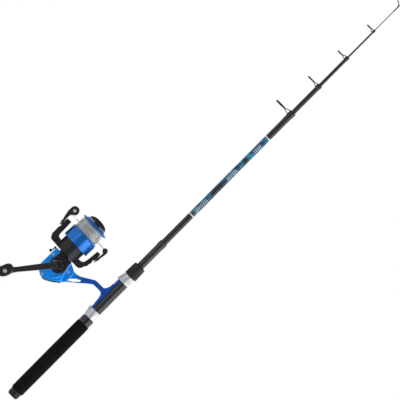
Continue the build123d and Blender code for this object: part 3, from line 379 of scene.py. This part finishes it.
def white_trim():
    """The two painted bands on the butt section."""
    g = Graph("white_trim").set(Coat_Weight=0.7, Coat_Roughness=0.1)
    drift = g.noise(300, 3)
    g.colour(g.mix(g.spread(drift, 0.3, 0.8), TRIM_WHITE, TRIM_WORN))
    g.roughness(g.spread(drift, 0.3, 0.7, 0.25, 0.4))
    return g.material


# The housing's and the stem's blues are a painted highlight and painted shade: the paint is drawn lighter low on
# the housing and darker on the stem and foot, and fades between them across the stem's span in Z.
HOUSING_LIT_BLUE = (0.0, 0.31, 1.0)
STEM_SHADED_BLUE = (0.0, 0.075, 0.46)
SPOOL_BLUE = (0.0, 0.13, 0.5)
STEM_SHADE_FADE = (-0.075, -0.04)
SPOOL_FADE = (-0.1, 0.0)
MATERIALS = {
    "foam": foam(),
    "cap_rubber": cap_rubber(),
    "blank": blank(),
    "sleeve": sleeve(),
    "seat_silver": turned_metal("seat_silver", roughness=0.5, lines=2400, depth=0.002 * MM, tone=0.85),
    # blue_paint: a painted highlight on the housing fading into painted shade on the stem and foot.
    "blue_paint": flake_paint("blue_paint", HOUSING_LIT_BLUE, STEM_SHADED_BLUE, STEM_SHADE_FADE, metallic=0.3),
    "spool_blue": flake_paint("spool_blue", SPOOL_BLUE, SPOOL_BLUE, SPOOL_FADE, metallic=0.55),
    "black_plastic": moulded("black_plastic", roughness=0.4, grain=1900, relief=0.03 * MM, tone=0.35),
    "black_paint": moulded("black_paint", roughness=0.34, grain=700, relief=0.012 * MM, tone=0.4, coat=0.3),
    "knob": moulded("knob", roughness=0.46, grain=1500, relief=0.05 * MM, tone=0.4),
    "steel": polished_metal("steel", roughness=0.3, tone=1.35),
    "bright_wire": polished_metal("bright_wire", roughness=0.16, tone=0.55),
    "brass": polished_metal("brass", roughness=0.3),
    "zinc": polished_metal("zinc", roughness=0.42),
    "nylon": moulded("nylon", roughness=0.4, grain=900, relief=0.03 * MM),
    "line": fishing_line(),
    "guide_frame": polished_metal("guide_frame", roughness=0.26, tone=0.5),
    "guide_liner": moulded("guide_liner", roughness=0.16, grain=600, relief=0.01 * MM, coat=0.8),
    "roller_gold": polished_metal("roller_gold", roughness=0.2),
    "felt": felt(),
}
PRINTED_BLANK = printed_blank()
WHITE_TRIM = white_trim()


# ---------------------------------------------------------------- CAD nodes: finish and soft edges

WELD_DISTANCE = 0.002 * MM
EDGE_ANGLE = math.radians(32)
EDGE_SEGMENTS = 2
# The width of the rounded edges in millimetres, and the nodes that have them.
EDGE_WIDTHS = {
    0.5: ("butt_cap", "seat_nut"),
    0.4: ("rotor", "handle_knob"),
    0.35: ("reel_body",),
    0.3: ("side_cover", "rear_guard", "bail_lever", "bail_foot_lever", "handle_arm"),
    0.25: ("grip_collar", "rotor_arm_covers", "drag_knob", "handle_hub"),
    0.2: ("rear_hood", "front_hood", "boss_cover", "side_cap", "spool", "anti_reverse_lever", "front_neck"),
    0.15: ("handle_sleeve", "knob_pin"),
    0.1: ("cover_screws", "bail_screws"),
    0.08: ("roller_screw",),
}
EDGE_OF = {name: width * MM for width, names in EDGE_WIDTHS.items() for name in names}


def finish_node(name, node):
    """Gives a CAD node its material and small rounded edges. Its own mesh stays as it is."""
    node.data.materials.clear()
    node.data.materials.append(PRINTED_BLANK if name == "butt_blank" else MATERIALS[SLOT_OF[name]])
    weld = node.modifiers.new("weld", "WELD")
    weld.merge_threshold = WELD_DISTANCE
    if name in EDGE_OF:
        bevel = node.modifiers.new("bevel", "BEVEL")
        bevel.width = EDGE_OF[name]
        bevel.segments = EDGE_SEGMENTS
        bevel.limit_method = "ANGLE"
        bevel.angle_limit = EDGE_ANGLE


for node_name, node_object in frame["nodes"].items():
    finish_node(node_name, node_object)


# ---------------------------------------------------------------- mesh helpers

def add_piece(name, vertices, faces, material, body):
    """A smooth mesh object in the row frame that rides on a body."""
    mesh = bpy.data.meshes.new(name)
    mesh.from_pydata(vertices, [], faces)
    mesh.materials.append(material)
    mesh.polygons.foreach_set("use_smooth", [True] * len(mesh.polygons))
    mesh.update()
    piece = bpy.data.objects.new(name, mesh)
    bpy.context.scene.collection.objects.link(piece)
    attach(piece, body)
    return piece


def axis_frame(joint_name):
    """The frame of a joint: X along the joint's axis, and Y as near to the row's as it can be."""
    joint = JOINTS[joint_name]
    x = Vector(joint["axis"]).normalized()
    y = Vector((0, 1, 0))
    z = x.cross(y).normalized()
    turn = Matrix((x, z.cross(x), z)).transposed().to_4x4()
    return Matrix.Translation(Vector(joint["pos_m"])) @ turn


def lathe(loop, segments, frame_matrix=Matrix.Identity(4), relief=None):
    """Turns a closed loop of (along, radius) about the frame's X axis.

    relief(along, radius, angle, row) returns the radius at a point, where row counts along the loop.
    """
    vertices = []
    for k in range(segments):
        angle = 2 * math.pi * k / segments
        for row, (along, radius) in enumerate(loop):
            r = relief(along, radius, angle, row) if relief else radius
            vertices.append(frame_matrix @ Vector((along, r * math.cos(angle), r * math.sin(angle))))
    rows = len(loop)
    faces = []
    for k in range(segments):
        near = k * rows
        far = (k + 1) % segments * rows
        for row in range(rows):
            after = (row + 1) % rows
            faces.append((near + row, near + after, far + after, far + row))
    return vertices, faces


def arc(centre, radius, start, end, steps):
    """Points of an arc in (along, radius), with angles in degrees from the along axis."""
    points = []
    for k in range(steps + 1):
        angle = math.radians(start + (end - start) * k / steps)
        points.append((centre[0] + radius * math.cos(angle), centre[1] + radius * math.sin(angle)))
    return points


# ---------------------------------------------------------------- foam grip

GRIP_END_ROUND = 1.3 * MM
GRIP_END_STEPS = 6
GRIP_END_RIM = 3.2 * MM
GRIP_END_DISH = 0.3 * MM
GRIP_CROWN = 0.18 * MM
GRIP_SANDING = 0.07 * MM
GRIP_PORE = 0.045 * MM
SANDING_SCALE = 90
PORE_SCALE = 1100
GRIP_ROWS = 170
GRIP_SEGMENTS = 144


def foam_grip():
    """The padded grip: a foam tube with rounded ends dished to its bore, and a slightly uneven barrel."""
    low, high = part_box("grip_foam")
    radius = high.z
    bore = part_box("butt_blank")[1].z
    length = high.x - low.x
    straight = length - 2 * GRIP_END_ROUND
    shoulder = radius - GRIP_END_ROUND
    rim = radius - GRIP_END_RIM
    outer = arc((low.x + GRIP_END_ROUND, shoulder), GRIP_END_ROUND, 180, 90, GRIP_END_STEPS)
    outer += [(low.x + GRIP_END_ROUND + straight * k / GRIP_ROWS, radius) for k in range(1, GRIP_ROWS)]
    outer += arc((high.x - GRIP_END_ROUND, shoulder), GRIP_END_ROUND, 90, 0, GRIP_END_STEPS)
    ends = [(high.x, rim), (high.x - GRIP_END_DISH, bore), (low.x + GRIP_END_DISH, bore), (low.x, rim)]

    def relief(along, r, angle, row):
        if row >= len(outer):
            return r
        place = Vector((along, radius * math.cos(angle), radius * math.sin(angle)))
        fullness = 1 - abs(2 * (along - low.x) / length - 1) ** 6
        swell = GRIP_CROWN * (fullness - 1)
        sanding = GRIP_SANDING * noise.noise(place * SANDING_SCALE)
        return r + swell + sanding + GRIP_PORE * noise.noise(place * PORE_SCALE)

    vertices, faces = lathe(outer + ends, GRIP_SEGMENTS, relief=relief)
    piece = add_piece("grip_padding", vertices, faces, MATERIALS["foam"], "root")
    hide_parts("grip_foam")


foam_grip()


# ---------------------------------------------------------------- bands on the butt section

BAND_SEGMENTS = 72
BLANK_R_BACK = 5.2 * MM
BLANK_R_MOUTH = 4.9 * MM
TRIM_WIDTH = 1.5 * MM
TRIM_RISE = 0.22 * MM
TRIM_SINK = 0.15 * MM
TRIM_STEPS = 8


def blank_radius(x):
    """The butt section's outside radius, which tapers from the handle sleeve to the mouth."""
    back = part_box("handle_sleeve")[1].x
    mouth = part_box("butt_blank")[1].x
    share = min(max((x - back) / (mouth - back), 0), 1)
    return BLANK_R_BACK + (BLANK_R_MOUTH - BLANK_R_BACK) * share


def trim_ring(name, x):
    """A painted band round the blank at x, thick enough to stand proud."""
    r = blank_radius(x)
    half = TRIM_WIDTH / 2
    loop = [(x - half, r - TRIM_SINK)]
    for k in range(TRIM_STEPS + 1):
        angle = math.pi * k / TRIM_STEPS
        loop.append((x - half * math.cos(angle), r + TRIM_RISE * math.sin(angle) ** 0.5))
    loop.append((x + half, r - TRIM_SINK))
    vertices, faces = lathe(loop, BAND_SEGMENTS)
    add_piece(name, vertices, faces, WHITE_TRIM, "root")


WHIPPING_LENGTH = 9 * MM
WHIPPING_SINK = 0.1 * MM
THREAD_PITCH = 0.42 * MM
THREAD_RIDGE = 0.07 * MM
POINTS_PER_TURN = 4
EPOXY = 0.26 * MM
BACK_TAPER = 1.2 * MM
FRONT_TAPER = 0.6 * MM


def guide_whipping():
    """Whipping behind the first guide: close turns of thread under epoxy that tapers at both ends."""
    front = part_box("guide_1")[0].x
    back = front - WHIPPING_LENGTH
    steps = int((front - back) / THREAD_PITCH) * POINTS_PER_TURN
    loop = [(back, blank_radius(back) - WHIPPING_SINK)]
    for k in range(steps + 1):
        x = back + (front - back) * k / steps
        taper = min((x - back) / BACK_TAPER, (front - x) / FRONT_TAPER, 1)
        ridge = abs(math.sin(math.pi * (x - back) / THREAD_PITCH))
        loop.append((x, blank_radius(x) + (EPOXY + THREAD_RIDGE * ridge) * taper ** 0.5))
    loop.append((front, blank_radius(front) - WHIPPING_SINK))
    vertices, faces = lathe(loop, BAND_SEGMENTS)
    add_piece("guide_whipping", vertices, faces, MATERIALS["sleeve"], "root")


trim_ring("trim_ring_rear", PRINT_START - TRIM_WIDTH / 2)
trim_ring("trim_ring_front", PRINT_END + TRIM_WIDTH / 2)
guide_whipping()


# ---------------------------------------------------------------- line on the spool

LINE_THICKNESS = 0.42 * MM
LINE_LEAD = 7
LINE_CROWN = 0.9 * MM
STRAND_RELIEF = 0.3
SECOND_LAY = 0.9
POINTS_PER_STRAND = 4
WINDING_SEGMENTS = 220


def strand(phase):
    """The height of a round strand, from 0 at its sides to 1 at its top, where phase counts strands."""
    return math.sqrt(max(0.0, 1 - (2 * (phase % 1) - 1) ** 2))


def wound_line():
    """The line on the spool: two lays of close turns, which cross in long thin diamonds."""
    reel = axis_frame("spool_spin")
    to_reel = reel.inverted()
    corners = [to_reel @ vertex.co for vertex in frame["nodes"]["line_winding"].data.vertices]
    start = min(corner.x for corner in corners)
    end = max(corner.x for corner in corners)
    radii = [math.hypot(corner.y, corner.z) for corner in corners]
    core = min(radii)
    face = max(radii)
    rows = int((end - start) / LINE_THICKNESS * POINTS_PER_STRAND)
    outer = [(start + (end - start) * k / rows, face) for k in range(rows + 1)]
    inner = [(end, core), (start, core)]

    def relief(along, r, angle, row):
        if row > rows:
            return r
        share = (along - start) / (end - start)
        crown = LINE_CROWN * (2 * abs(share - 0.5)) ** 5
        turn = angle / (2 * math.pi) * LINE_LEAD
        first = strand((along - start) / LINE_THICKNESS + turn)
        second = strand((along - start) / LINE_THICKNESS - turn)
        return r - crown - LINE_THICKNESS * STRAND_RELIEF * (1 - max(first, SECOND_LAY * second))

    vertices, faces = lathe(outer + inner, WINDING_SEGMENTS, reel, relief)
    piece = add_piece("wound_line", vertices, faces, MATERIALS["line"], "spool")
    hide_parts("line_winding")


wound_line()


# ---------------------------------------------------------------- panel on the side cover

CREASE_START = Vector((0.1523, -0.0913))
CREASE_END = Vector((0.1702, -0.0748))
PANEL_GAP = 0.25 * MM
PANEL_WIDTH = 4.6 * MM
PANEL_RISE = 0.75 * MM
PANEL_SINK = 0.12 * MM
PANEL_ROOT = 0.6 * MM
BOW_FULLNESS = 0.75
CROWN_LEAN = 0.7
CROWN_FULLNESS = 0.8
END_STEEPNESS = 1.6
PANEL_ROWS = 48
PANEL_COLUMNS = 14


def panel_point(face, u, v):
    """A point of the crowned face: u runs along the crease, and v from the crease to the outer edge."""
    along = CREASE_END - CREASE_START
    across = Vector((-along.y, along.x)).normalized()
    bow = math.sin(math.pi * u) ** BOW_FULLNESS
    crown = math.sin(math.pi * v ** CROWN_LEAN) ** CROWN_FULLNESS * min(1, END_STEEPNESS * bow)
    place = CREASE_START + along * u + across * (PANEL_GAP + PANEL_WIDTH * bow * v)
    return (place.x, face - PANEL_SINK + (PANEL_RISE + PANEL_SINK) * crown, place.y)


def cover_panel():
    """The crowned crescent between the crease in the side cover and the cover's rear edge."""
    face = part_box("side_cover")[1].y
    step = PANEL_COLUMNS + 1
    vertices = []
    faces = []
    for i in range(PANEL_ROWS + 1):
        for j in range(step):
            vertices.append(panel_point(face, i / PANEL_ROWS, j / PANEL_COLUMNS))
    for i in range(PANEL_ROWS):
        for j in range(PANEL_COLUMNS):
            near = i * step + j
            faces.append((near, near + 1, near + step + 1, near + step))
    rim = [i * step for i in range(PANEL_ROWS + 1)]
    rim += [i * step + PANEL_COLUMNS for i in range(PANEL_ROWS, -1, -1)]
    back = len(vertices)
    vertices += [(vertices[k][0], face - PANEL_ROOT, vertices[k][2]) for k in rim]
    for k in range(len(rim)):
        after = (k + 1) % len(rim)
        faces.append((rim[k], rim[after], back + after, back + k))
    faces.append(tuple(back + k for k in range(len(rim))))
    add_piece("cover_panel", vertices, faces, MATERIALS["blue_paint"], "root")


cover_panel()


# ---------------------------------------------------------------- stage and light

FLOOR_CENTRE = Vector((0.5, 0, -0.6))
FLOOR_HALF = (2.6, 1.02)
FLOOR_FADE = (0.55, 0.98)
FLOOR_DULL = (0.86, 0.86, 0.86)
FLOOR_BRIGHT = (0.9, 0.9, 0.9)
WHITE = (1, 1, 1, 1)
WORLD_LIT = 0.32
WORLD_SEEN = 1.0
LIGHT_AIM = Vector((0.35, 0, -0.03))


def make_floor():
    """A pale floor well under the rod that fades out at its edge."""
    mesh = bpy.data.meshes.new("floor")
    corners = [(FLOOR_CENTRE.x + sx * FLOOR_HALF[0], sy * FLOOR_HALF[1], FLOOR_CENTRE.z)
               for sx, sy in ((-1, -1), (1, -1), (1, 1), (-1, 1))]
    mesh.from_pydata(corners, [], [(0, 1, 2, 3)])
    floor = bpy.data.objects.new("floor", mesh)
    bpy.context.scene.collection.objects.link(floor)
    g = Graph("floor").set(Roughness=0.9)
    axes = g.axes()
    across = g.math("DIVIDE", g.math("SUBTRACT", axes["X"], FLOOR_CENTRE.x), FLOOR_HALF[0])
    deep = g.math("DIVIDE", axes["Y"], FLOOR_HALF[1])
    squares = g.math("ADD", g.math("MULTIPLY", across, across), g.math("MULTIPLY", deep, deep))
    reach = g.math("SQRT", squares)
    g.colour(g.mix(g.noise(3, 3), FLOOR_DULL, FLOOR_BRIGHT))
    g.put(g.shader.inputs["Alpha"], g.spread(reach, *FLOOR_FADE, 1.0, 0.0))
    mesh.materials.append(g.material)


def make_world():
    """White to the camera, and a dimmer white to the object, so that dark parts stay dark."""
    world = bpy.data.worlds.new("studio")
    bpy.context.scene.world = world
    world.use_nodes = True
    nodes = world.node_tree.nodes
    links = world.node_tree.links
    lit = nodes["Background"]
    seen = nodes.new("ShaderNodeBackground")
    for background, strength in ((lit, WORLD_LIT), (seen, WORLD_SEEN)):
        background.inputs["Color"].default_value = WHITE
        background.inputs["Strength"].default_value = strength
    path = nodes.new("ShaderNodeLightPath")
    mix = nodes.new("ShaderNodeMixShader")
    links.new(path.outputs["Is Camera Ray"], mix.inputs["Fac"])
    links.new(lit.outputs[0], mix.inputs[1])
    links.new(seen.outputs[0], mix.inputs[2])
    links.new(mix.outputs[0], nodes["World Output"].inputs["Surface"])


def make_light(name, place, size, power):
    """A softbox: a rectangular area light, size (wide, high) in metres, aimed at the reel and rod."""
    data = bpy.data.lights.new(name, "AREA")
    data.shape = "RECTANGLE"
    data.size, data.size_y = size
    data.energy = power
    light = bpy.data.objects.new(name, data)
    bpy.context.scene.collection.objects.link(light)
    light.location = place
    light.rotation_euler = (LIGHT_AIM - Vector(place)).to_track_quat("-Z", "Y").to_euler()


make_floor()
make_world()
make_light("top_strip", place=(0.35, -0.7, 1.2), size=(2.4, 0.7), power=15)
make_light("front_box", place=(0.15, 1.0, 1.5), size=(2.4, 1.8), power=33)
make_light("low_fill", place=(0.2, 1.3, -1.1), size=(1.6, 0.8), power=7)
make_light("back_box", place=(0.3, -2.0, 0.9), size=(1.6, 1.2), power=12)
bpy.context.scene.view_settings.view_transform = "Standard"
